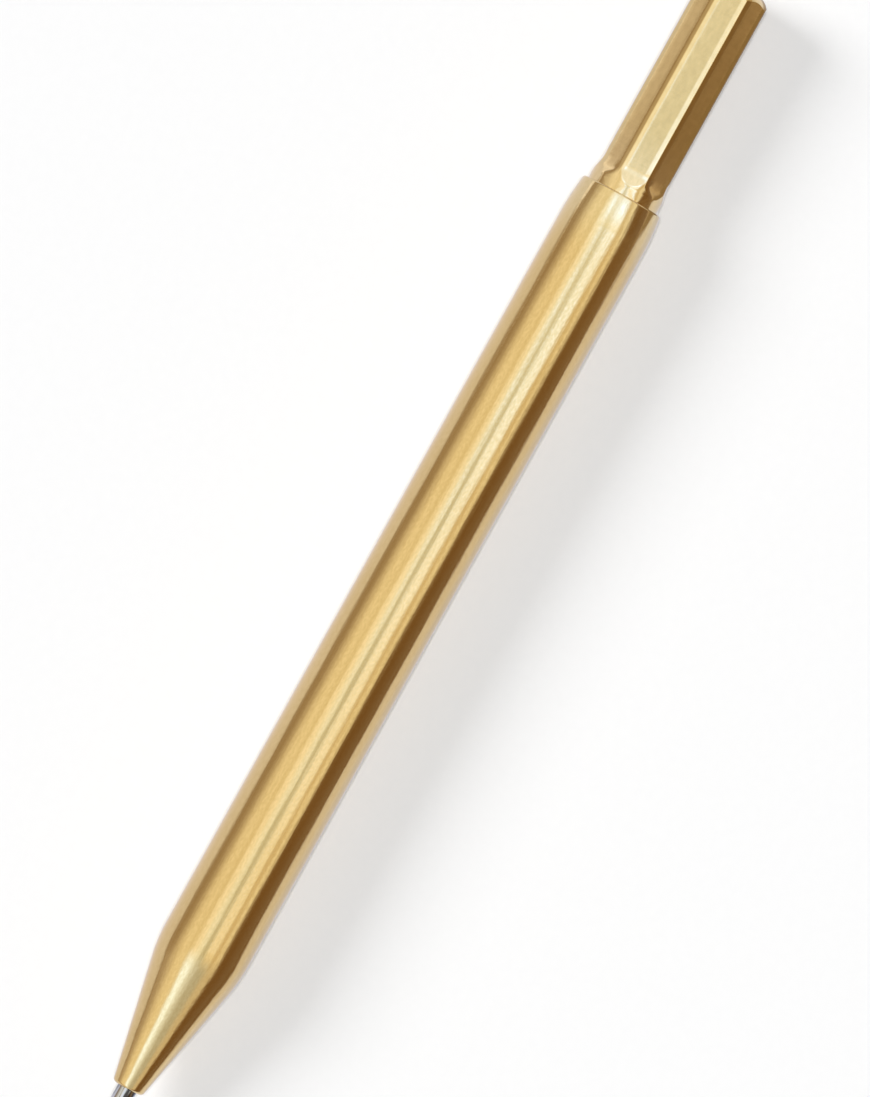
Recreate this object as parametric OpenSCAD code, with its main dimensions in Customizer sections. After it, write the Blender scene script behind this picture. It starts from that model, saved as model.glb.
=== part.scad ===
// Retractable ballpoint pen turned from brass, with an eight-sided push button.
// Each piece is drawn on the pen's own axis, with the end of the nose at zero and the button above it.
// The whole pen is then laid on its side, so that it rests on the XY plane and its button points along +X.
// The point is out, as it is for writing.

/* [Barrel] */
// Outside diameter of the barrel
barrel_d = 10.5; // [10.4:0.1:12]
// Length of the barrel, from the end of the nose to the rim
barrel_len = 114; // [112:0.5:118]
// Length of the cone that runs from the barrel to the end of the nose
cone_len = 16.4; // [14:0.2:19]
// Diameter of the cone at the end of the nose
nose_d = 3.7; // [3.5:0.1:4.2]
// Radius of the soft corner where the cone meets the barrel
shoulder_r = 16; // [2:1:20]
// Length over which the barrel narrows to its rim
crown_len = 4.5; // [2:0.5:4.5]
// Radius of the curve that narrows it
crown_r = 28; // [27:1:80]
// Radius of the rounded edge of the rim
rim_edge_r = 0.25; // [0.1:0.05:0.3]

/* [Button] */
// How far the button stands out of the rim while the point is out
button_out = 26.9; // [20:0.1:32]
// Distance across two opposite flats of the button
flat_to_flat = 8; // [7.9:0.05:8.2]
// Diameter of the round neck that slides in the barrel
neck_d = 8.7; // [8.6:0.05:8.8]
// Length of neck that shows between the rim and the flats
neck_shown = 1.4; // [1.4:0.1:3]
// Radius of the cutter that leaves the round ends of the flats
runout_r = 5.5; // [4:0.5:12]
// Radius of the rounded edge at the end of the button
end_r = 2; // [0.5:0.1:2.5]

/* [Click mechanism] */
// Travel of the button and the refill from writing to put away
retract = 5; // [4:0.1:5.5]
// Extra travel when the button is pressed fully home
overtravel = 1.2; // [0.9:0.1:1.2]

/* [Refill] */
// Length of the refill, from the ball to the back end
refill_len = 98.2; // [97.6:0.1:98.6]
// Outside diameter of the refill tube
refill_d = 5.8; // [5.6:0.1:5.9]
// Diameter of the point where it leaves the nose
point_d = 2.3; // [2.2:0.05:2.4]
// How far the point stands out of the nose for writing
point_out = 3.6; // [2.4:0.1:3.8]
// Diameter of the writing ball
ball_d = 1; // [0.7:0.1:1.2]

/* [Return spring] */
// Diameter of the spring wire
wire_d = 0.4; // [0.3:0.05:0.4]
// Number of coils
spring_turns = 9; // [5:1:9]

/* [Hidden] */

$fn = 96;
brass = [0.80, 0.62, 0.32];
steel = [0.66, 0.67, 0.69];
nickel_silver = [0.74, 0.72, 0.68];
black_acetal = [0.12, 0.12, 0.13];
white_acetal = [0.90, 0.90, 0.88];
rubber = [0.08, 0.08, 0.08];
ink = [0.05, 0.06, 0.16];

over = 1;             // how far a cutting shape runs past the solid that it cuts
slide_gap = 0.04;     // clearance of a sliding fit, on the radius
loose_gap = 0.1;      // clearance of a loose fit, on the radius
press_gap = 0.01;     // clearance of a pressed or screwed fit, on the radius
touch_gap = 0.1;      // clearance between two pieces that push on each other
end_gap = 0.3;        // clearance left at the end of a travel
lead = 0.2;           // bevel on a turned edge

// Barrel bores, from the nose to the rim
barrel_r = barrel_d / 2;
nose_r = nose_d / 2;
nose_edge_r = 0.45;
point_r = point_d / 2;
nose_hole_r = point_r + loose_gap;
spring_seat = 6;
spring_bore_r = 2.35;
refill_r = refill_d / 2;
refill_bore_r = refill_r + 0.25;
refill_bore_z = 11.5;
bore_taper = 1;
neck_r = neck_d / 2;
neck_bore_r = neck_r + slide_gap;
rim_lead = 0.15;

// Levels of the mechanism, counted up from the back end of the refill
rear = refill_len - point_out;
foot_z = rear + touch_gap;
lip_z = rear + retract + end_gap;
lip_h = 0.9;
spline_z = lip_z + lip_h + overtravel + end_gap;
spline_h = 2.2;
spline_top = spline_z + spline_h;
thrust_z = spline_top + touch_gap;
thrust_h = 3.5;
cap_z = thrust_z + thrust_h + retract + end_gap;
cap_h = 1.2;
sleeve_top = cap_z + cap_h;
refill_socket = 5;
sleeve_bottom = rear - refill_socket;

// Radii, keys and teeth of the mechanism
sleeve_r = 3.45;
slot_r = 2.95;
rib_r = 2.5;
lip_r = 2.6;
spline_r = slot_r - loose_gap;
core_r = rib_r - loose_gap;
foot_r = lip_r - 2 * loose_gap;
stud_r = 1.5;
spigot_r = 1.2;
spigot_rise = 0.6;
spigot_room = 2 * spigot_rise + touch_gap;
core_z = spline_z - 0.8;
stem_r = 0.9;
stem_h = 1.4;
splines = 4;
slot_angle = 180 / splines;
spline_angle = 38;
ramp_angle = 26;
tooth_h = 0.8;

// Collar that carries the sleeve in the barrel
collar_r = 3.95;
collar_taper = 0.5;
collar_bore_z = sleeve_bottom - collar_taper - touch_gap;
flange_r = neck_bore_r - loose_gap;
flange_z = rear + 1.6;
flange_h = 1.2;
washer_h = 0.4;

// Button, from the open end of its skirt to its outer end
skirt_z = flange_z + flange_h + overtravel + end_gap;
skirt_bore_r = sleeve_r + loose_gap;
skirt_end = sleeve_top + overtravel + end_gap;
stud_depth = 6;
drill_point = 0.6;
flat_r = flat_to_flat / 2;
flat_rise = neck_r - flat_r;
flat_z = barrel_len + neck_shown + sqrt(2 * runout_r * flat_rise - flat_rise * flat_rise);
flats = 8;
button_end = barrel_len + button_out;
ring_depth = 0.42;
ring_groove_w = 0.6;
front_ring_z = skirt_z + 2;
rear_ring_z = skirt_z + 6;

// Refill, from the ball to the plug
tip_z = -point_out;
ball_r = ball_d / 2;
ball_gap = 0.02;
ball_z = tip_z + ball_r;
socket_z = tip_z + 0.32 * ball_d;
socket_lip_r = 0.56 * ball_d;
socket_base_r = 0.74 * ball_d;
point_taper = 1.9;
point_tail = 4;
point_tail_r = point_r - 0.2;
channel_r = 0.6 * ball_r;
holder_r = 1.55;
holder_z = spring_seat + overtravel + end_gap + touch_gap;
holder_flange_z = 14.5;
holder_flange_h = 1.5;
holder_spigot = 3;
tube_wall = 0.3;
tube_bore_r = refill_r - tube_wall;
tube_z = holder_flange_z + holder_flange_h;
plug_head = 2.6;
plug_spigot = 4;
tube_end = rear - plug_head;
plug_z = tube_end - plug_spigot;
air_hole_r = 0.4;
ink_level = 0.8;

// Spring, at the length it has while the point is out
coil_clear = 0.15;
spring_r = spring_bore_r - coil_clear - wire_d / 2;
wire_sides = 6;
rings_per_turn = 12;
seat_gap = 0.02;
spring_z = spring_seat + wire_d / 2 + seat_gap;
spring_rise = holder_flange_z - spring_seat - wire_d - 2 * seat_gap;

// Lays the pen on its side with its middle over the origin
module lay() {
    translate([-(button_end + tip_z) / 2, 0, barrel_r]) rotate([0, 90, 0]) children();
}

// Turns an outline of [radius, level] points about the axis
module turned(outline) {
    rotate_extrude() polygon(outline);
}

// Points of an arc about a centre, from one angle to another
function arc(centre, r, from, to, steps = 6) =
    [for (i = [0 : steps]) let (a = from + (to - from) * i / steps) centre + r * [cos(a), sin(a)]];

// A ring or disc between two levels
module ring(r, z, h, bore = 0) {
    translate([0, 0, z]) difference() {
        cylinder(r = r, h = h);
        if (bore > 0) translate([0, 0, -over]) cylinder(r = bore, h = h + 2 * over);
    }
}

// Wedge-shaped keys round the axis, cut from a ring
module keys(r, z, h, angle, bore = 0, turn = 0) {
    reach = 2 * r * [cos(angle / 2), sin(angle / 2)];
    intersection() {
        ring(r, z, h, bore);
        for (i = [0 : splines - 1]) rotate(turn + i * 360 / splines) translate([0, 0, z - over])
            linear_extrude(h + 2 * over) polygon([[0, 0], [reach.x, -reach.y], reach]);
    }
}

// Sloping cuts, one for each key and clear of the next, that leave a ramp at one level
module ramps(z, turn = 0, below = false) {
    inner = 1.3;
    size = [sleeve_r, 3.2, 3];
    for (i = [0 : splines - 1]) rotate(turn + i * 360 / splines)
        translate([inner, 0, z]) rotate([ramp_angle, 0, 0])
            translate([0, -size.y / 2, below ? -size.z : 0]) cube(size);
}

// Barrel and nose in one piece, bored from the rim
slope = atan((barrel_r - nose_r) / cone_len);
nose_edge_centre = [nose_r - nose_edge_r * (1 - sin(slope)) / cos(slope), nose_edge_r];
shoulder_centre = [barrel_r - shoulder_r, cone_len + shoulder_r * tan(slope / 2)];
crown_centre = [barrel_r - crown_r, barrel_len - crown_len];
crown_turn = asin((crown_len - rim_edge_r) / (crown_r - rim_edge_r));
rim_edge_centre = crown_centre + (crown_r - rim_edge_r) * [cos(crown_turn), sin(crown_turn)];

function barrel_outline() = concat(
    [[0, 0]],
    arc(nose_edge_centre, nose_edge_r, -90, -slope),
    arc(shoulder_centre, shoulder_r, -slope, 0),
    arc(crown_centre, crown_r, 0, crown_turn),
    arc(rim_edge_centre, rim_edge_r, crown_turn, 90),
    [[0, barrel_len]]
);

function bore_outline() = [
    [0, -over],
    [nose_hole_r, -over],
    [nose_hole_r, spring_seat],
    [spring_bore_r, spring_seat],
    [spring_bore_r, refill_bore_z - bore_taper],
    [refill_bore_r, refill_bore_z],
    [refill_bore_r, collar_bore_z],
    [collar_r + press_gap, collar_bore_z + collar_taper],
    [collar_r + press_gap, flange_z - washer_h],
    [neck_bore_r, flange_z - washer_h],
    [neck_bore_r, barrel_len - rim_lead],
    [neck_bore_r + rim_lead, barrel_len],
    [neck_bore_r + rim_lead, barrel_len + over],
    [0, barrel_len + over]
];

module barrel() {
    color(brass) lay() difference() {
        turned(barrel_outline());
        turned(bore_outline());
    }
}

// Button: a round bar with eight milled flats, hollow below so that it slides over the sleeve
module flat_cutter() {
    rotate([90, 0, 0]) linear_extrude(neck_d, center = true) union() {
        translate([flat_r, flat_z]) square([neck_r, button_out]);
        translate([flat_r + runout_r, flat_z]) circle(r = runout_r);
    }
}

function button_outline() = concat(
    [[skirt_bore_r, skirt_z], [neck_r - lead, skirt_z], [neck_r, skirt_z + lead]],
    arc([neck_r - end_r, button_end - end_r], end_r, 0, 90),
    [
        [0, button_end],
        [0, skirt_end + stud_depth + drill_point],
        [stud_r + press_gap, skirt_end + stud_depth],
        [stud_r + press_gap, skirt_end],
        [skirt_bore_r, skirt_end]
    ]
);

module ring_groove(z) {
    ring(neck_d, z - ring_groove_w / 2, ring_groove_w, neck_r - ring_depth);
}

module button() {
    color(brass) lay() difference() {
        turned(button_outline());
        for (i = [0 : flats - 1]) rotate(i * 360 / flats) flat_cutter();
        ring_groove(front_ring_z);
        ring_groove(rear_ring_z);
    }
}

// Rubber rings that seal the neck in its bore and slow its return
module damper_ring(z) {
    inner = neck_r - ring_depth + press_gap;
    outer = neck_bore_r - press_gap;
    color(rubber) lay() rotate_extrude()
        translate([(inner + outer) / 2, z]) circle(r = (outer - inner) / 2);
}

module front_damper_ring() {
    damper_ring(front_ring_z);
}

module rear_damper_ring() {
    damper_ring(rear_ring_z);
}

// Threaded collar, pressed on the sleeve and screwed down into the barrel
module mount_collar() {
    color(brass) lay() turned([
        [sleeve_r + press_gap, sleeve_bottom],
        [collar_r - lead, sleeve_bottom],
        [collar_r, sleeve_bottom + lead],
        [collar_r, flange_z],
        [flange_r, flange_z],
        [flange_r, flange_z + flange_h - lead],
        [flange_r - lead, flange_z + flange_h],
        [sleeve_r + press_gap, flange_z + flange_h]
    ]);
}

// Washer under the collar's flange, which keeps the thread from working loose
module collar_washer() {
    color(white_acetal) lay() ring(flange_r, flange_z - washer_h, washer_h, collar_r + press_gap);
}

// Sleeve with guide ribs inside: the cam keys slide between them, or rest on their ends
function sleeve_outline() = [
    [refill_r + loose_gap, sleeve_bottom],
    [sleeve_r, sleeve_bottom],
    [sleeve_r, sleeve_top],
    [slot_r, sleeve_top],
    [slot_r, lip_z + lip_h],
    [lip_r, lip_z + lip_h],
    [lip_r, lip_z],
    [refill_r + loose_gap, lip_z]
];

module cam_sleeve() {
    rib_turn = slot_angle;
    rib_root = (slot_r + sleeve_r) / 2;
    color(steel) lay() union() {
        turned(sleeve_outline());
        difference() {
            keys(rib_root, thrust_z, cap_z - thrust_z, slot_angle, rib_r, rib_turn);
            ramps(thrust_z + slot_r * sin(slot_angle / 2) * tan(ramp_angle), rib_turn, below = true);
        }
    }
}

// Bush pressed into the top of the sleeve, which guides the stud and holds the cams in
module sleeve_cap() {
    color(brass) lay() ring(slot_r - press_gap, cap_z, cap_h, stud_r + loose_gap);
}

// Thrust cam: it moves with the button and can't turn, and its teeth push the rotary cam
module tooth_cutter() {
    half_pitch = core_r * tan(90 / splines);
    rotate([90, 0, 90]) linear_extrude(2 * spline_r) polygon([
        [-half_pitch, -over],
        [-half_pitch, 0],
        [0, tooth_h],
        [half_pitch, 0],
        [half_pitch, -over]
    ]);
}

module thrust_cam() {
    teeth = 2 * splines;
    color(black_acetal) lay() difference() {
        union() {
            ring(core_r, thrust_z, thrust_h);
            keys(spline_r, thrust_z, thrust_h, spline_angle);
        }
        for (i = [0 : teeth - 1]) rotate((i + 0.5) * 360 / teeth)
            translate([0, 0, thrust_z]) tooth_cutter();
        ring(stud_r + press_gap, thrust_z - over, thrust_h + 2 * over);
    }
}

// Stud that joins the thrust cam to the button
module plunger_stud() {
    bottom = thrust_z + spigot_room;
    top = skirt_end + stud_depth - end_gap;
    color(steel) lay() turned([
        [0, bottom],
        [stud_r - lead, bottom],
        [stud_r, bottom + lead],
        [stud_r, top - lead],
        [stud_r - lead, top],
        [0, top]
    ]);
}

// Rotary cam: its ramped keys turn one step at each click
module rotary_cam() {
    color(white_acetal) lay() difference() {
        union() {
            ring(core_r, core_z, spline_h);
            ring(spigot_r, spline_z, spline_h + spigot_rise);
            difference() {
                keys(spline_r, spline_z, spline_h, spline_angle);
                ramps(spline_top - spline_r * sin(spline_angle / 2) * tan(ramp_angle));
            }
        }
        ring(stem_r + press_gap, core_z - over, over + stem_h + touch_gap);
    }
}

// Foot of the rotary cam, which reaches down to the refill
module cam_foot() {
    color(brass) lay() turned([
        [0, foot_z],
        [foot_r - lead, foot_z],
        [foot_r, foot_z + lead],
        [foot_r, core_z],
        [stem_r, core_z],
        [stem_r, core_z + stem_h],
        [0, core_z + stem_h]
    ]);
}

// Return spring: one wire along a helix, as rings of points joined by triangles
function helix_point(t) =
    [spring_r * cos(360 * t), spring_r * sin(360 * t), spring_z + spring_rise * t / spring_turns];

function wire_ring(t) =
    let (
        out = [cos(360 * t), sin(360 * t), 0],
        around = 2 * PI * spring_r * [-sin(360 * t), cos(360 * t), 0],
        run = around + [0, 0, spring_rise / spring_turns],
        side = cross(run / norm(run), out)
    )
    [for (k = [0 : wire_sides - 1]) let (a = 360 * k / wire_sides)
        helix_point(t) + wire_d / 2 * (cos(a) * out + sin(a) * side)];

module return_spring() {
    rings = spring_turns * rings_per_turn;
    last = rings * wire_sides;
    points = [for (i = [0 : rings]) each wire_ring(i / rings_per_turn)];
    next = function (k) (k + 1) % wire_sides;
    walls = [for (i = [0 : rings - 1], k = [0 : wire_sides - 1]) each [
        [i * wire_sides + k, (i + 1) * wire_sides + k, i * wire_sides + next(k)],
        [i * wire_sides + next(k), (i + 1) * wire_sides + k, (i + 1) * wire_sides + next(k)]
    ]];
    ends = [for (k = [1 : wire_sides - 2]) each [[0, k, k + 1], [last, last + k + 1, last + k]]];
    color(steel) lay() polyhedron(points, concat(walls, ends));
}

// Least gap between neighbouring coils, measured on the wire's own points
coil_gap = min([for (i = [0 : rings_per_turn]) let (here = helix_point(i / rings_per_turn))
    min([for (j = [-3 : 3]) norm(helix_point(1 + (i + j) / rings_per_turn) - here)])]) - wire_d;
echo(coil_gap = coil_gap);

// Refill tube with its ink
module refill_tube() {
    color(steel) lay() ring(refill_r, tube_z, tube_end - tube_z, tube_bore_r);
}

module refill_ink() {
    bottom = tube_z + holder_spigot;
    color(ink) lay() ring(tube_bore_r - press_gap, bottom, ink_level * (plug_z - bottom));
}

// Plug in the back end of the tube, with an air hole and cross slots
module refill_plug() {
    slot = [2 * refill_d, 1, 0.8];
    color(white_acetal) lay() difference() {
        turned([
            [air_hole_r, plug_z],
            [tube_bore_r - press_gap, plug_z],
            [tube_bore_r - press_gap, tube_end],
            [refill_r, tube_end],
            [refill_r, rear - lead],
            [refill_r - lead, rear],
            [air_hole_r, rear]
        ]);
        for (a = [0, 90]) rotate(a) translate([-slot.x / 2, -slot.y / 2, rear - slot.z])
            cube([slot.x, slot.y, slot.z + over]);
    }
}

// Holder that carries the point, with a flange that the spring pushes on
module refill_nose() {
    hole_r = point_tail_r + press_gap;
    color(brass) lay() turned([
        [hole_r, holder_z],
        [holder_r - lead, holder_z],
        [holder_r, holder_z + lead],
        [holder_r, holder_flange_z],
        [refill_r, holder_flange_z],
        [refill_r, tube_z],
        [tube_bore_r - press_gap, tube_z],
        [tube_bore_r - press_gap, tube_z + holder_spigot],
        [channel_r, tube_z + holder_spigot],
        [channel_r, holder_z + point_tail],
        [hole_r, holder_z + point_tail]
    ]);
}

// Point: a cone with the ball's socket at its tip and an ink channel down its middle
module refill_point() {
    tail_end = holder_z + point_tail;
    color(nickel_silver) lay() difference() {
        turned([
            [0, socket_z],
            [socket_lip_r, socket_z],
            [socket_base_r, tip_z + ball_d],
            [point_r, tip_z + point_taper],
            [point_r, holder_z],
            [point_tail_r, holder_z],
            [point_tail_r, tail_end],
            [0, tail_end]
        ]);
        translate([0, 0, ball_z]) sphere(r = ball_r + ball_gap);
        ring(channel_r, ball_z, tail_end - ball_z + over);
    }
}

// Ball that rolls in the point's socket
module writing_ball() {
    color(steel) lay() translate([0, 0, ball_z]) sphere(r = ball_r);
}

barrel();
button();
front_damper_ring();
rear_damper_ring();
mount_collar();
collar_washer();
cam_sleeve();
sleeve_cap();
thrust_cam();
plunger_stud();
rotary_cam();
cam_foot();
return_spring();
refill_tube();
refill_nose();
refill_point();
writing_ball();
refill_ink();
refill_plug();
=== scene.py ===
import math
import bmesh
import bpy
from mathutils import Matrix, Vector


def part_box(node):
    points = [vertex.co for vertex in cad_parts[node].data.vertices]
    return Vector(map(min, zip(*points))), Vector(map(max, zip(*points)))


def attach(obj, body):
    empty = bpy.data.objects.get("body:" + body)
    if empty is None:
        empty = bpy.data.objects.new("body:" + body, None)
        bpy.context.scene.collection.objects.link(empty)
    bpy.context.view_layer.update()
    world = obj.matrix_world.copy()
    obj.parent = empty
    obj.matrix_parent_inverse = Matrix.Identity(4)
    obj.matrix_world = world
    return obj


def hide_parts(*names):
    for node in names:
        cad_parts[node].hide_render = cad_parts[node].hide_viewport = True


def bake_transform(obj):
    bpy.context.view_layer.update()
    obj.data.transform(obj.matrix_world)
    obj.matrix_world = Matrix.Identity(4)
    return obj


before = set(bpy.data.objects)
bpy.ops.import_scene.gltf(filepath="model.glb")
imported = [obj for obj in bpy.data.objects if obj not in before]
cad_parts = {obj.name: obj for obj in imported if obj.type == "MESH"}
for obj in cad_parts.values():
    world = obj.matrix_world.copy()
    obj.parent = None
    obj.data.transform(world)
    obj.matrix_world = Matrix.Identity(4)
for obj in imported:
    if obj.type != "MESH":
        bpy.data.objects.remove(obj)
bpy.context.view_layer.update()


# Barrel: one bar of solid brass, turned to a straight grip and a plain cone with no seam between them.
# It is bored from the rim, crowned a little towards it, and satin polished along its length.
# Near the rim its colour is painted paler, a painted highlight for the whiter reflections there.
mm = 0.001
barrel_low, barrel_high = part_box("barrel")
nose = barrel_low.x
axis = (barrel_low.z + barrel_high.z) / 2
barrel_round = (barrel_high.z - barrel_low.z) / 2 / mm
barrel_length = (barrel_high.x - nose) / mm
nose_hole, hole_edge, nose_round, nose_edge = 1.25, 0.1, 1.85, 0.45
cone_length, cone_blend = 16.4, 16
crown_start, crown_blend, rim_round, rim_edge = 111.657, 28, 4.887, 0.25
neck_bore, neck_chamfer, neck_floor = 4.39, 0.15, 95.8
collar_bore, collar_floor = 3.96, 89.5
refill_bore, refill_top, refill_floor = 3.15, 89, 11.5
spring_bore, spring_top, spring_seat = 2.35, 10.5, 6
barrel_corners = [
    (0, nose_hole, hole_edge), (0, nose_round, nose_edge), (cone_length, barrel_round, cone_blend),
    (crown_start, barrel_round, crown_blend), (barrel_length, rim_round, rim_edge),
    (barrel_length, neck_bore + neck_chamfer, 0), (barrel_length - neck_chamfer, neck_bore, 0),
    (neck_floor, neck_bore, 0), (neck_floor, collar_bore, 0),
    (collar_floor, collar_bore, 0), (refill_top, refill_bore, 0),
    (refill_floor, refill_bore, 0), (spring_top, spring_bore, 0),
    (spring_seat, spring_bore, 0), (spring_seat, nose_hole, 0),
]
touching = 1e-8
nearly_all = 0.9999


def turn(corners, steps=192):
    """A turned solid. Corners are (distance from the nose, radius, rounding), in millimetres."""
    solid = bmesh.new()
    points = [solid.verts.new((nose + x * mm, 0, axis + r * mm)) for x, r, _ in corners]
    solid.faces.new(points)
    for i, (x, r, rounding) in enumerate(corners):
        if rounding:
            before = Vector((x, r)) - Vector(corners[i - 1][:2])
            after = Vector(corners[(i + 1) % len(corners)][:2]) - Vector((x, r))
            cut_back = rounding * math.tan(before.angle(after) / 2) * nearly_all
            bmesh.ops.bevel(
                solid, geom=[points[i]], offset=cut_back * mm, offset_type="OFFSET",
                segments=10, profile=0.5, affect="VERTICES", material=-1)
    bmesh.ops.delete(solid, geom=solid.faces[:], context="FACES_ONLY")
    on_axis = [e for e in solid.edges if all(v.co.z - axis < touching for v in e.verts)]
    bmesh.ops.delete(solid, geom=on_axis, context="EDGES")
    bmesh.ops.spin(
        solid, geom=solid.verts[:] + solid.edges[:], cent=(0, 0, axis), axis=(1, 0, 0),
        angle=2 * math.pi, steps=steps, use_merge=True)
    bmesh.ops.remove_doubles(solid, verts=solid.verts[:], dist=touching)
    bmesh.ops.dissolve_degenerate(solid, edges=solid.edges[:], dist=touching)
    bmesh.ops.recalc_face_normals(solid, faces=solid.faces[:])
    return solid


def piece_from(solid, name, finish, sharp=30):
    """Makes the solid a piece of the scene, smooth but for the edges sharper than an angle in degrees."""
    for face in solid.faces:
        face.smooth = True
    mesh = bpy.data.meshes.new(name)
    solid.to_mesh(mesh)
    solid.free()
    mesh.set_sharp_from_angle(angle=math.radians(sharp))
    mesh.materials.append(finish)
    piece = bpy.data.objects.new(name, mesh)
    bpy.context.scene.collection.objects.link(piece)
    return piece


class Value:
    """An output of a shader node. Arithmetic on it adds Math nodes to the same finish."""

    def __init__(self, tree, socket=None):
        self.tree = tree
        self.socket = socket

    def node(self, kind, settings={}, sockets={}, output=0):
        made = self.tree.nodes.new(kind)
        for name, setting in settings.items():
            setattr(made, name, setting)
        for name, value in sockets.items():
            if isinstance(value, Value):
                self.tree.links.new(value.socket, made.inputs[name])
            else:
                made.inputs[name].default_value = value
        return Value(self.tree, made.outputs[output] if made.outputs else None)

    def math(self, operation, *values):
        return self.node("ShaderNodeMath", {"operation": operation}, dict(enumerate(values)))

    def __add__(self, other):
        return self.math("ADD", self, other)

    def __radd__(self, other):
        return self.math("ADD", other, self)

    def __sub__(self, other):
        return self.math("SUBTRACT", self, other)

    def __rsub__(self, other):
        return self.math("SUBTRACT", other, self)

    def __mul__(self, other):
        return self.math("MULTIPLY", self, other)

    def __rmul__(self, other):
        return self.math("MULTIPLY", other, self)

    def parts(self):
        """The three numbers of a place or direction: along the pen, to its left and up."""
        split = self.node("ShaderNodeSeparateXYZ", {}, {0: self})
        return [Value(self.tree, part) for part in split.socket.node.outputs]

    def step(self, low, high):
        """Runs smoothly from 0 at low to 1 at high."""
        return self.node(
            "ShaderNodeMapRange", {"interpolation_type": "SMOOTHSTEP"},
            {"Value": self, "From Min": low, "From Max": high})

    def noise(self, scale, detail=3.0):
        stretched = self.node("ShaderNodeMapping", {}, {"Vector": self, "Scale": scale})
        return self.node("ShaderNodeTexNoise", {}, {"Vector": stretched, "Scale": 1.0, "Detail": detail})

    def tint(self, first, second):
        """A colour that goes from first to second as this value goes from 0 to 1."""
        factor, first_colour, second_colour, mixed_colour = 0, 6, 7, 2
        first, second = (c if isinstance(c, Value) else (*c, 1) for c in (first, second))
        return self.node(
            "ShaderNodeMix", {"data_type": "RGBA"},
            {factor: self, first_colour: first, second_colour: second}, output=mixed_colour)

    def bump(self, height):
        return self.node("ShaderNodeBump", {}, {"Distance": height, "Height": self})


def start_finish(name):
    """A new finish, and where each point of the surface is in the pen's frame."""
    finish = bpy.data.materials.new(name)
    finish.use_nodes = True
    finish.node_tree.nodes.clear()
    return finish, Value(finish.node_tree).node("ShaderNodeTexCoord", output="Object")


def end_finish(where, sockets):
    shader = where.node("ShaderNodeBsdfPrincipled", {}, sockets)
    where.node("ShaderNodeOutputMaterial", {}, {"Surface": shader})


highlight_paint_from, highlight_paint_full = barrel_length - 8.5, barrel_length - 2
satin_brass, where = start_finish("satin_brass")
lines = where.noise((60, 8000, 8000))
streaks = where.noise((110, 2400, 2400))
cloud = where.noise((90, 260, 260))
hairs = where.noise((2000, 4500, 4500))
worn = (hairs * 0.6 + cloud * 0.2 + streaks * 0.2).step(0.36, 0.64)
golden = worn.tint((0.824, 0.579, 0.246), (0.766, 0.527, 0.210))
# Painted highlight: a paler copy of the brass colour, mixed in towards the rim.
painted_highlight_brass = worn.tint((0.855, 0.640, 0.310), (0.797, 0.585, 0.266))
along, _, _ = where.parts()
painted_highlight_by_rim = along.step(nose + highlight_paint_from * mm, nose + highlight_paint_full * mm)
end_finish(where, {
    "Base Color": painted_highlight_by_rim.tint(golden, painted_highlight_brass),
    "Roughness": lines * 0.07 + hairs * 0.08 + 0.07,
    "Metallic": 1.0,
    "Normal": (lines * 0.03 + streaks * 0.6 + hairs * 0.14).bump(20e-6),
})

barrel = piece_from(turn(barrel_corners), "brass_barrel", satin_brass)
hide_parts("barrel")
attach(barrel, "barrel")


# Return spring: drawn steel wire wound on a mandrel, its end coils closed so that they sit flat.
# It stands between the step in the nose and the flange of the refill.
wire_round, wire_sides, coil_round, coil_steps = 0.2, 12, 2.0, 32
spring_flange, spring_play = 14.5, 0.02
closed_pitch, closed_turns, open_turns = 0.42, 1, 7

spring_steel, where = start_finish("spring_steel")
drawn = where.noise((3000, 9000, 9000))
end_finish(where, {
    "Base Color": drawn.tint((0.56, 0.57, 0.60), (0.66, 0.67, 0.69)),
    "Roughness": drawn * 0.15 + 0.2,
    "Metallic": 1.0,
    "Normal": drawn.bump(0.4e-6),
})

spring = bmesh.new()
wire_start = nose + (spring_seat + wire_round + spring_play) * mm
bmesh.ops.create_circle(
    spring, segments=wire_sides, radius=wire_round * mm,
    matrix=Matrix.Translation((wire_start, 0, axis + coil_round * mm)) @ Matrix.Rotation(math.pi / 2, 4, "X"))
wound = spring.verts[:] + spring.edges[:]
free_length = spring_flange - spring_seat - 2 * (wire_round + spring_play)
open_pitch = (free_length - 2 * closed_turns * closed_pitch) / open_turns
for turns, pitch in ((closed_turns, closed_pitch), (open_turns, open_pitch), (closed_turns, closed_pitch)):
    wound = bmesh.ops.spin(
        spring, geom=wound, cent=(0, 0, axis), axis=(1, 0, 0), dvec=(pitch / coil_steps * mm, 0, 0),
        angle=2 * math.pi * turns, steps=turns * coil_steps)["geom_last"]
bmesh.ops.holes_fill(spring, edges=[e for e in spring.edges if e.is_boundary], sides=0)
bmesh.ops.recalc_face_normals(spring, faces=spring.faces[:])
spring = piece_from(spring, "coil_spring", spring_steel, sharp=50)
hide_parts("return_spring")
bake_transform(spring)


# Point: a turned nickel silver cone that carries the ball in its rolled lip, pressed in its holder.
# Only its last few millimetres show, with fine rings from the lathe and dark streaks at random along it.
point_lip, point_bore, lip_round, lip_edge = -3.28, 0.3, 0.52, 0.05
taper_end, taper_round, taper_blend = -2.6, 0.74, 0.3
shank_start, shank_round, shank_blend, shank_end = -1.7, 1.15, 0.4, 7.6
tail_round, tail_end = 0.95, 11.6
point_corners = [
    (point_lip, point_bore, 0), (point_lip, lip_round, lip_edge), (taper_end, taper_round, taper_blend),
    (shank_start, shank_round, shank_blend), (shank_end, shank_round, 0),
    (shank_end, tail_round, 0), (tail_end, tail_round, 0), (tail_end, point_bore, 0),
]

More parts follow.
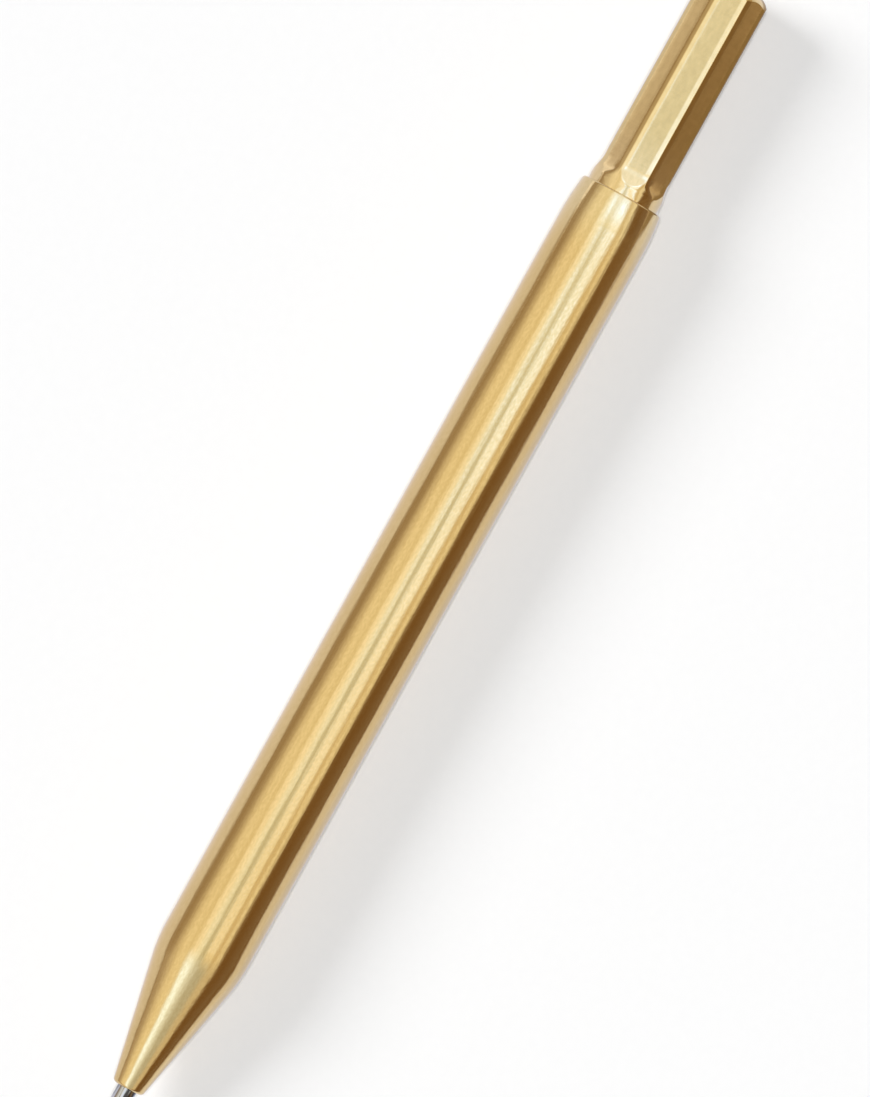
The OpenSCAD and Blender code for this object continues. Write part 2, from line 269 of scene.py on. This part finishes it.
nickel_silver, where = start_finish("nickel_silver")
rings = where.noise((14000, 300, 300), detail=2.0)
dark_streaks = where.noise((250, 2300, 2300), detail=2.0).step(0.42, 0.56)
end_finish(where, {
    "Base Color": dark_streaks.tint((0.60, 0.575, 0.53), (0.075, 0.07, 0.065)),
    "Roughness": rings * 0.08 + dark_streaks * 0.10 + 0.05,
    "Metallic": 1.0,
    "Normal": rings.bump(0.3e-6),
})

point = piece_from(turn(point_corners, steps=96), "turned_point", nickel_silver)
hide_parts("refill_point")
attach(point, "refill")


# Ball: tungsten carbide, ground and lapped, free to roll in the point's lip.
# Its surface is very slightly porous, so that it carries ink.
carbide, where = start_finish("carbide")
pores = where.noise((16000, 16000, 16000))
end_finish(where, {
    "Base Color": pores.tint((0.36, 0.37, 0.39), (0.48, 0.49, 0.51)),
    "Roughness": pores.step(0.3, 0.7) * 0.15 + 0.12,
    "Metallic": 1.0,
    "Normal": pores.bump(0.3e-6),
})


def dress(finish, *nodes):
    """Gives solids that keep their shape a finish."""
    for node in nodes:
        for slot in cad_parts[node].material_slots:
            slot.material = finish


dress(carbide, "writing_ball")


# Refill: a drawn metal tube with a turned brass holder pressed in its front end.
# The tube has the fine lines of its drawing along it.
refill_metal, where = start_finish("refill_metal")
drawn = where.noise((40, 6000, 6000))
end_finish(where, {
    "Base Color": drawn.tint((0.62, 0.63, 0.65), (0.74, 0.75, 0.77)),
    "Roughness": drawn * 0.15 + 0.2,
    "Metallic": 1.0,
    "Normal": drawn.bump(0.4e-6),
})
dress(refill_metal, "refill_tube")


# Turned brass: the refill's holder, the collar that screws into the barrel, the cap and the cam's foot.
# They are left as they come off the lathe, with rings round them.
turned_brass, where = start_finish("turned_brass")
rings = where.noise((9000, 200, 200), detail=2.0)
dull = where.noise((500, 500, 500))
end_finish(where, {
    "Base Color": dull.step(0.3, 0.7).tint((0.79, 0.57, 0.25), (0.66, 0.46, 0.19)),
    "Roughness": rings * 0.15 + dull * 0.1 + 0.18,
    "Metallic": 1.0,
    "Normal": rings.bump(0.8e-6),
})
dress(turned_brass, "refill_nose", "mount_collar", "sleeve_cap", "cam_foot")


# Ink: a column of dark paste in the tube, from the holder to near the plug.
# It is wet and smooth, with faint swirls from its filling.
ink, where = start_finish("ink")
swirl = where.noise((150, 900, 900), detail=2.0)
end_finish(where, {
    "Base Color": swirl.tint((0.012, 0.018, 0.08), (0.03, 0.04, 0.14)),
    "Roughness": swirl * 0.1 + 0.1,
})
dress(ink, "refill_ink")


# Sleeve and stud: steel, the sleeve drawn and broached for the cam keys, the stud cut from rod.
# Both have fine lines along them.
sleeve_steel, where = start_finish("sleeve_steel")
drawn = where.noise((60, 5000, 5000))
end_finish(where, {
    "Base Color": drawn.tint((0.54, 0.55, 0.57), (0.66, 0.67, 0.69)),
    "Roughness": drawn * 0.2 + 0.25,
    "Metallic": 1.0,
    "Normal": drawn.bump(0.5e-6),
})
dress(sleeve_steel, "cam_sleeve", "plunger_stud")


# Cams, washer and plug: acetal, moulded. The thrust cam is black and the others are white.
# They have the slightly pebbled skin of the mould.
def acetal(name, first, second):
    finish, where = start_finish(name)
    pebble = where.noise((4000, 4000, 4000), detail=2.0)
    end_finish(where, {
        "Base Color": pebble.tint(first, second),
        "Roughness": pebble * 0.15 + 0.38,
        "Normal": pebble.bump(2e-6),
    })
    return finish


dress(acetal("black_acetal", (0.035, 0.035, 0.04), (0.055, 0.055, 0.06)), "thrust_cam")
dress(
    acetal("white_acetal", (0.80, 0.80, 0.77), (0.88, 0.88, 0.85)),
    "rotary_cam", "collar_washer", "refill_plug")


# Damper rings: black rubber, moulded, stretched into the two grooves of the button's skirt.
# They are matt, with a faint grey bloom.
black_rubber, where = start_finish("black_rubber")
bloom = where.noise((2500, 2500, 2500))
end_finish(where, {
    "Base Color": bloom.tint((0.02, 0.02, 0.02), (0.045, 0.045, 0.045)),
    "Roughness": bloom * 0.2 + 0.55,
    "Normal": bloom.bump(3e-6),
})
dress(black_rubber, "front_damper_ring", "rear_damper_ring")


# Button: a round brass bar on which eight flats are milled, each run out by the round of the cutter.
# A short round neck is left at the rim. Polishing has lapped the flats' edges and rounded the lips where
# they run out, and the end is rounded. Near the neck its colour is painted paler, a painted highlight.
button_end = (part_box("button")[1].x - nose) / mm
neck, flat, cutter = 4.35, 4.0, 5.5
rolled, roll, lapped, edge, lip = 2.0, math.radians(9.5), 0.3, 0.25, 0.115
flats, columns = 8, 12
half_flat = math.pi / flats
tongue = barrel_length + 1.4
flats_from = tongue + math.sqrt(2 * cutter * (neck - flat) - (neck - flat) ** 2)
lead_gap, lead_rings, runout_rings, crowding = 0.06, 6, 24, 1.6
runout = [tongue - lead_gap * i for i in range(lead_rings, 0, -1)]
runout += [tongue + (flats_from - tongue) * (i / runout_rings) ** crowding for i in range(runout_rings + 1)]
round_end, round_steps, ring_gap = 2.0, 8, 0.2
end_rings = [button_end - (round_steps - i + 2) * ring_gap for i in range(round_steps + 1)]
neck_end, flats_settled, flats_end = tongue - 0.6, flats_from + 0.4, button_end - 3
button_rings = [barrel_length, neck_end, *runout, flats_settled, flats_end, *end_rings]
grooves = [100.9, 104.9]
groove_half, groove_floor = 0.3, 3.93
skirt_start, skirt_chamfer, skirt_bore, skirt_end = 98.9, 0.2, 3.55, 116.1
stud_hole, stud_end, drill_point = 1.51, 122.1, 0.6
beside_round = 0.1

button_corners = [
    (skirt_start, skirt_bore, 0), (skirt_start, neck - skirt_chamfer, 0),
    (skirt_start + skirt_chamfer, neck, 0),
]
for x in grooves:
    button_corners += [(x - groove_half, neck, 0), (x - groove_half, groove_floor, 0)]
    button_corners += [(x + groove_half, groove_floor, 0), (x + groove_half, neck, 0)]
button_corners += [(x, neck, 0) for x in button_rings]
button_corners += [
    (button_end, neck - round_end, 0), (button_end, neck - round_end - beside_round, 0), (button_end, 0, 0),
    (stud_end + drill_point, 0, 0), (stud_end, stud_hole, 0),
    (skirt_end, stud_hole, 0), (skirt_end, skirt_bore, 0),
]
rolled_to = Vector((math.sin(roll), math.cos(roll)))


def eased(away):
    """Centres of the roll-off and the edge beside a flat that far away, and where its parts end."""
    height = away - rolled + (rolled - edge) * rolled_to.y - lapped * rolled_to.x
    edge_centre = Vector((height * math.tan(half_flat), height))
    lapped_end = edge_centre + edge * rolled_to
    lapped_start = lapped_end + lapped * Vector((-rolled_to.y, rolled_to.x))
    roll_centre = lapped_start - rolled * rolled_to
    ends = [math.atan2(roll_centre.x, away)]
    ends += [math.atan2(p.x, p.y) for p in (lapped_start, lapped_end)]
    return roll_centre, edge_centre, ends


def flat_radius(angle, away):
    """Radius of the octagon with flats that far away, at an angle from the middle of a flat."""
    roll_centre, edge_centre, ends = eased(away)
    if angle <= ends[0]:
        return away / math.cos(angle)
    if ends[1] < angle <= ends[2]:
        return (rolled + roll_centre.dot(rolled_to)) / math.cos(angle - roll)
    centre, bend = (roll_centre, rolled) if angle <= ends[1] else (edge_centre, edge)
    out = centre.dot(Vector((math.sin(angle), math.cos(angle))))
    return out + math.sqrt(bend ** 2 - centre.length_squared + out ** 2)


def reach(radius, away, halvings=40):
    """Angle from the middle of a flat that far away at which it comes to a radius."""
    low, high = 0.0, half_flat
    for _ in range(halvings):
        middle = (low + high) / 2
        low, high = (middle, high) if flat_radius(middle, away) < radius else (low, middle)
    return low


def lipped(radius):
    """The radius left of a flat and the round bar, with the lip between them polished round."""
    near = max(lip - abs(radius - neck), 0)
    return min(radius, neck) - near ** 2 / (4 * lip)


least_flat, least_lip, least_bar, least_beside = (math.radians(degrees) for degrees in (2, 3, 1, 5))


def milled_ring(x):
    """Angles from a flat's middle, and radii, of the points of half a flat at x."""
    past = max(flats_from - x, 0)
    away = flat + cutter - math.sqrt(cutter ** 2 - past ** 2)
    ends = [0, *eased(away)[2], half_flat]
    shares = [2, 4, 2, 4]
    if flat_radius(half_flat, away) > neck - lip:
        low = min(max(reach(neck - lip, away), least_flat), half_flat - least_beside)
        high = min(max(reach(neck + lip, away), low + least_lip), half_flat - least_bar)
        ends = [0, low, high, half_flat]
        shares = [3, 7, 2]
    angles = [0.0]
    for first, last, share in zip(ends, ends[1:], shares):
        angles += [first + (last - first) * (j + 1) / share for j in range(share)]
    return [(a, lipped(flat_radius(a, away))) for a in angles]


button = turn(button_corners, steps=2 * flats * columns)
milled_from, slack = tongue - 0.7, 0.01
for vertex in button.verts:
    x, height = (vertex.co.x - nose) / mm, vertex.co.z - axis
    radius = math.hypot(vertex.co.y, height) / mm
    if x < milled_from or x > button_end - slack or radius < neck - slack:
        continue
    around = math.atan2(vertex.co.y, height)
    middle = round(around / (2 * half_flat)) * 2 * half_flat
    column = round(abs(around - middle) / half_flat * columns)
    angle, radius = milled_ring(x)[column]
    ring = round((x - end_rings[0]) / ring_gap)
    if ring >= 0:
        bend = math.acos(1 - (neck - radius) / round_end)
        bend += (math.pi / 2 - bend) * max(ring - 1, 0) / round_steps
        x = button_end - round_end * (1 - math.sin(bend))
        if ring == 0:
            x -= beside_round
        else:
            radius = neck - round_end * (1 - math.cos(bend))
    around = middle + math.copysign(angle, around - middle)
    vertex.co = (nose + x * mm, radius * mm * math.sin(around), axis + radius * mm * math.cos(around))
bmesh.ops.recalc_face_normals(button, faces=button.faces[:])

highlight_paint_to, golden_from = barrel_length + 3, barrel_length + 9
flats_within, edges_beyond = 4.11, 4.16
milled_brass, where = start_finish("milled_brass")
cross_marks = where.noise((5000, 400, 400))
long_marks = where.noise((90, 7000, 7000), detail=2.0)
cloud = where.noise((900, 1600, 1600), detail=4.0)
centred = where.node(
    "ShaderNodeMapping", {}, {"Vector": where, "Location": (0, 0, -axis), "Scale": (0, 1, 1)})
from_axis = centred.node("ShaderNodeVectorMath", {"operation": "LENGTH"}, {0: centred}, output="Value")
rubbed = from_axis.step(flats_within * mm, edges_beyond * mm)
marks = cross_marks * (1 - rubbed) + long_marks * rubbed
worn = (cloud * 0.7 + marks * 0.3).step(0.28, 0.72)
golden = worn.tint((0.82, 0.583, 0.25), (0.735, 0.517, 0.215))
painted_highlight_brass = worn.tint((0.885, 0.645, 0.305), (0.79, 0.572, 0.262))
along, _, _ = where.parts()
# Painted highlight: the paler copy of the brass colour is mixed in towards the neck.
painted_highlight_by_neck = 1 - along.step(nose + highlight_paint_to * mm, nose + golden_from * mm)
end_finish(where, {
    "Base Color": painted_highlight_by_neck.tint(golden, painted_highlight_brass),
    "Roughness": (marks * 0.08 + 0.13) * (1 - rubbed * 0.35),
    "Metallic": 1.0,
    "Normal": marks.bump(0.16e-6),
})

button = piece_from(button, "faceted_button", milled_brass)
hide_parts("button")
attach(button, "plunger")


# Table: a wide sheet of matt white board, which the pen lies on. Its colour in the metal is a painted
# reflection:
# cooler and a little greyer, with painted light close on the pen's right and painted shade far out, but for
# painted light on the left side beside the button. All distances are in metres.
table_half = 3.0
# Colours of the painted reflection, its painted light and its painted shade.
painted_cool_reflection, painted_close_light = (0.72, 0.75, 0.90), (0.84, 0.92, 1.21)
painted_far_shade, painted_button_light = (0.36, 0.30, 0.25), (1.04, 1.07, 1.24)
painted_dark_shade, painted_button_shade, painted_end_shade = (0.19, 0.12, 0.06), (0.28, 0.215, 0.14), (0.55, 0.46, 0.36)
lit_width, button_dark, nose_dark = 0.10, 0.085, 0.04

board, where = start_finish("white_board")
fibre = where.noise((900, 900, 900))
along, left, _ = where.parts()
by_button = along.step(0.049, 0.057) * (1 - along.step(0.09, 0.14))
past_neck = along.step(0.0481, 0.0493)
past_end = along.step(0.074, 0.084)
by_nose = 1 - along.step(-0.056, -0.048)
# Painted reflection: the board's colour that the metal mirrors, cooler, and brighter close on the pen's
# right.
painted_reflection = left.step(-0.024, -0.012).tint(painted_cool_reflection, painted_close_light)
painted_reflection = left.step(-0.003, 0.003).tint(painted_reflection, painted_cool_reflection)
painted_reflection = left.step(0.055, 0.10).tint(painted_reflection, by_button.tint(painted_far_shade, painted_button_light))
# Painted light and shade: which parts of the board the metal sees lit or dark is painted by position.
painted_light_mask = (left + lit_width - past_neck * (1 - past_end) * button_dark - by_nose * nose_dark).step(0.0, 0.03)
painted_shade = past_end.tint(past_neck.tint(painted_dark_shade, painted_button_shade), painted_end_shade)
painted_reflection = painted_light_mask.tint(painted_shade, painted_reflection)
in_metal = where.node("ShaderNodeLightPath", output="Is Glossy Ray")
end_finish(where, {
    "Base Color": in_metal.tint(fibre.tint((0.90, 0.90, 0.90), (0.92, 0.92, 0.92)), painted_reflection),
    "Roughness": fibre * 0.05 + 0.85,
    "Specular IOR Level": 0.0,
})
table = bmesh.new()
bmesh.ops.create_grid(table, x_segments=2, y_segments=2, size=table_half)
table = piece_from(table, "white_table", board)


# Light: a white tent over the pen, which the metal mirrors. Two long cool strips run above it, along its
# length, whiter towards the rim and warmer towards the nose; past the nose only the left one goes on. It is
# dark low on the right, and dimmer low on the left and in a part beyond the button.
world = bpy.data.worlds.new("tent")
world.use_nodes = True
world.node_tree.nodes.clear()
bpy.context.scene.world = world
toward = Value(world.node_tree).node("ShaderNodeTexCoord", output="Generated")
along, left, up = toward.parts()
turned = toward.math("DEGREES", toward.math("ARCTAN2", left * -1.0, up))
past_nose = 1 - along.step(-0.34, -0.12)
near_nose = 1 - along.step(-0.06, -0.015)
near_rim = along.step(0.008, 0.028)
at_button = along.step(0.040, 0.046)
past_rim = along.step(0.08, 0.25)
past_end = along.step(0.24, 0.36)
rim_shift, button_shift, cone_shift = 3.5, 6, 3
right_side = turned - near_rim * (1 - past_rim) * rim_shift

white_cloth, seam_cloth = (1.0, 1.0, 0.95), (0.92, 0.90, 0.80)
warm_cloth, low_cloth = (0.76, 0.69, 0.54), (0.40, 0.33, 0.26)
tent = turned.step(-84, -46).tint(low_cloth, white_cloth)
left_seam = turned.step(-40, -35) * (1 - turned.step(-30, -25))
tent = left_seam.tint(tent, seam_cloth)
right_seam = right_side.step(27, 32) * (1 - right_side.step(35, 41))
tent = right_seam.tint(tent, warm_cloth)

left_strip, middle_strip, right_strip = (1.17, 1.21, 1.28), (1.10, 1.24, 1.48), (1.25, 1.37, 1.60)
nose_strip, rim_strip, far_strip = (1.04, 1.03, 0.96), (1.30, 2.04, 4.3), (1.32, 1.90, 3.6)
button_left, button_right, end_light = (1.15, 1.29, 1.55), (1.20, 1.30, 1.45), (1.06, 1.22, 1.58)
lit_strip = turned.step(-24, -6).tint(left_strip, middle_strip)
lit_strip = turned.step(2, 14).tint(lit_strip, near_nose.tint(right_strip, nose_strip))
lit_strip = (near_rim * turned.step(-17, -9)).tint(lit_strip, rim_strip)
lit_strip = at_button.tint(lit_strip, turned.step(-10, 10).tint(button_left, button_right))
lit_strip = (past_rim * turned.step(-20, -12)).tint(lit_strip, far_strip)
lit_strip = past_end.tint(lit_strip, end_light)
both_strips = turned.step(-28.5, -22.5) * (1 - right_side.step(24, 30))
tent = both_strips.tint(tent, lit_strip)

grey_line, nose_line, rim_line = (0.69, 0.75, 0.77), (0.63, 0.665, 0.61), (0.76, 0.99, 1.50)
neck_line, button_line, far_line = (1.05, 1.13, 1.22), (0.99, 1.05, 1.07), (1.07, 1.30, 1.85)
between = (turned + at_button * button_shift - near_nose).step(-5, -1) * (1 - turned.step(3, 12))
overhead = near_nose.tint(grey_line, nose_line)
overhead = near_rim.tint(overhead, rim_line)
overhead = at_button.tint(overhead, along.step(0.041, 0.051).tint(neck_line, button_line))
overhead = past_rim.tint(overhead, far_line)
overhead = past_end.tint(overhead, end_light)
tent = between.tint(tent, overhead)

cone_low, cone_left, cone_strip = (0.50, 0.45, 0.42), (1.0, 1.22, 1.72), (1.28, 1.70, 2.75)
cone_right, cone_far = (0.60, 0.67, 0.77), (0.77, 0.75, 0.71)
over_cone = turned.step(-86, -46).tint(cone_low, white_cloth)
over_cone = turned.step(-33, -27).tint(over_cone, turned.step(-12, 16).tint(cone_left, cone_right))
over_cone = turned.step(22, 42).tint(over_cone, cone_far)
one_strip = turned.step(-31, -25) * (1 - turned.step(-16, -6))
over_cone = one_strip.tint(over_cone, cone_strip)
tent = past_nose.tint(tent, over_cone)

dim_cloth = (0.50, 0.43, 0.34)
dark_above, dark_below = (0.205, 0.12, 0.05), (0.25, 0.185, 0.14)
dark_button, dark_far = (0.275, 0.19, 0.105), (0.52, 0.43, 0.33)
dim_part = along.step(0.70, 0.80) * (1 - along.step(0.84, 0.92))
tent = dim_part.tint(tent, dim_cloth)
dark_room = turned.step(60, 95).tint(dark_above, dark_below)
dark_room = (at_button * (1 - along.step(0.07, 0.08))).tint(dark_room, dark_button)
dark_room = along.step(0.30, 0.60).tint(dark_room, dark_far)
tent = (right_side - past_nose * cone_shift).step(45, 54).tint(tent, dark_room)

faint_fill, white = (0.08, 0.08, 0.08), (1.0, 1.0, 1.0)
in_metal = toward.node("ShaderNodeLightPath", output="Is Glossy Ray")
seen = toward.node("ShaderNodeLightPath", output="Is Camera Ray")
light = seen.tint(in_metal.tint(faint_fill, tent), white)
sky = toward.node("ShaderNodeBackground", {}, {"Color": light, "Strength": 1.0})
toward.node("ShaderNodeOutputWorld", {}, {"Surface": sky})


# Lamps: one straight above and one on the left, both large and soft.
# The metal doesn't mirror them.
for name, strength, spread, place in (
        ("overhead_lamp", 2.2, 8, (0, 0, 1)), ("side_lamp", 1.72, 25, (0, 0.83, 0.555))):
    lamp = bpy.data.lights.new(name, "SUN")
    lamp.energy = strength
    lamp.angle = math.radians(spread)
    hung = bpy.data.objects.new(name, lamp)
    bpy.context.scene.collection.objects.link(hung)
    hung.location = place
    hung.rotation_euler = Vector(place).to_track_quat("Z", "Y").to_euler()
    hung.visible_glossy = False


# Camera: straight above the pen, turned so that the button points to the upper right of the picture.
# It is far up and has a long lens, so that the pen's sides stay straight.
camera_x, camera_y, camera_height = 0.00076, -0.00080, 1.2
picture_turn = math.radians(-60.99)
camera = bpy.data.cameras.new("camera")
camera.sensor_width = 36
camera.lens = 352.4
camera.clip_start, camera.clip_end = 0.01, 20
above = bpy.data.objects.new("camera", camera)
bpy.context.scene.collection.objects.link(above)
above.location = (camera_x, camera_y, camera_height + axis)
above.rotation_euler = (0, 0, picture_turn)
bpy.context.scene.camera = above
bpy.context.scene.view_settings.view_transform = "Standard"
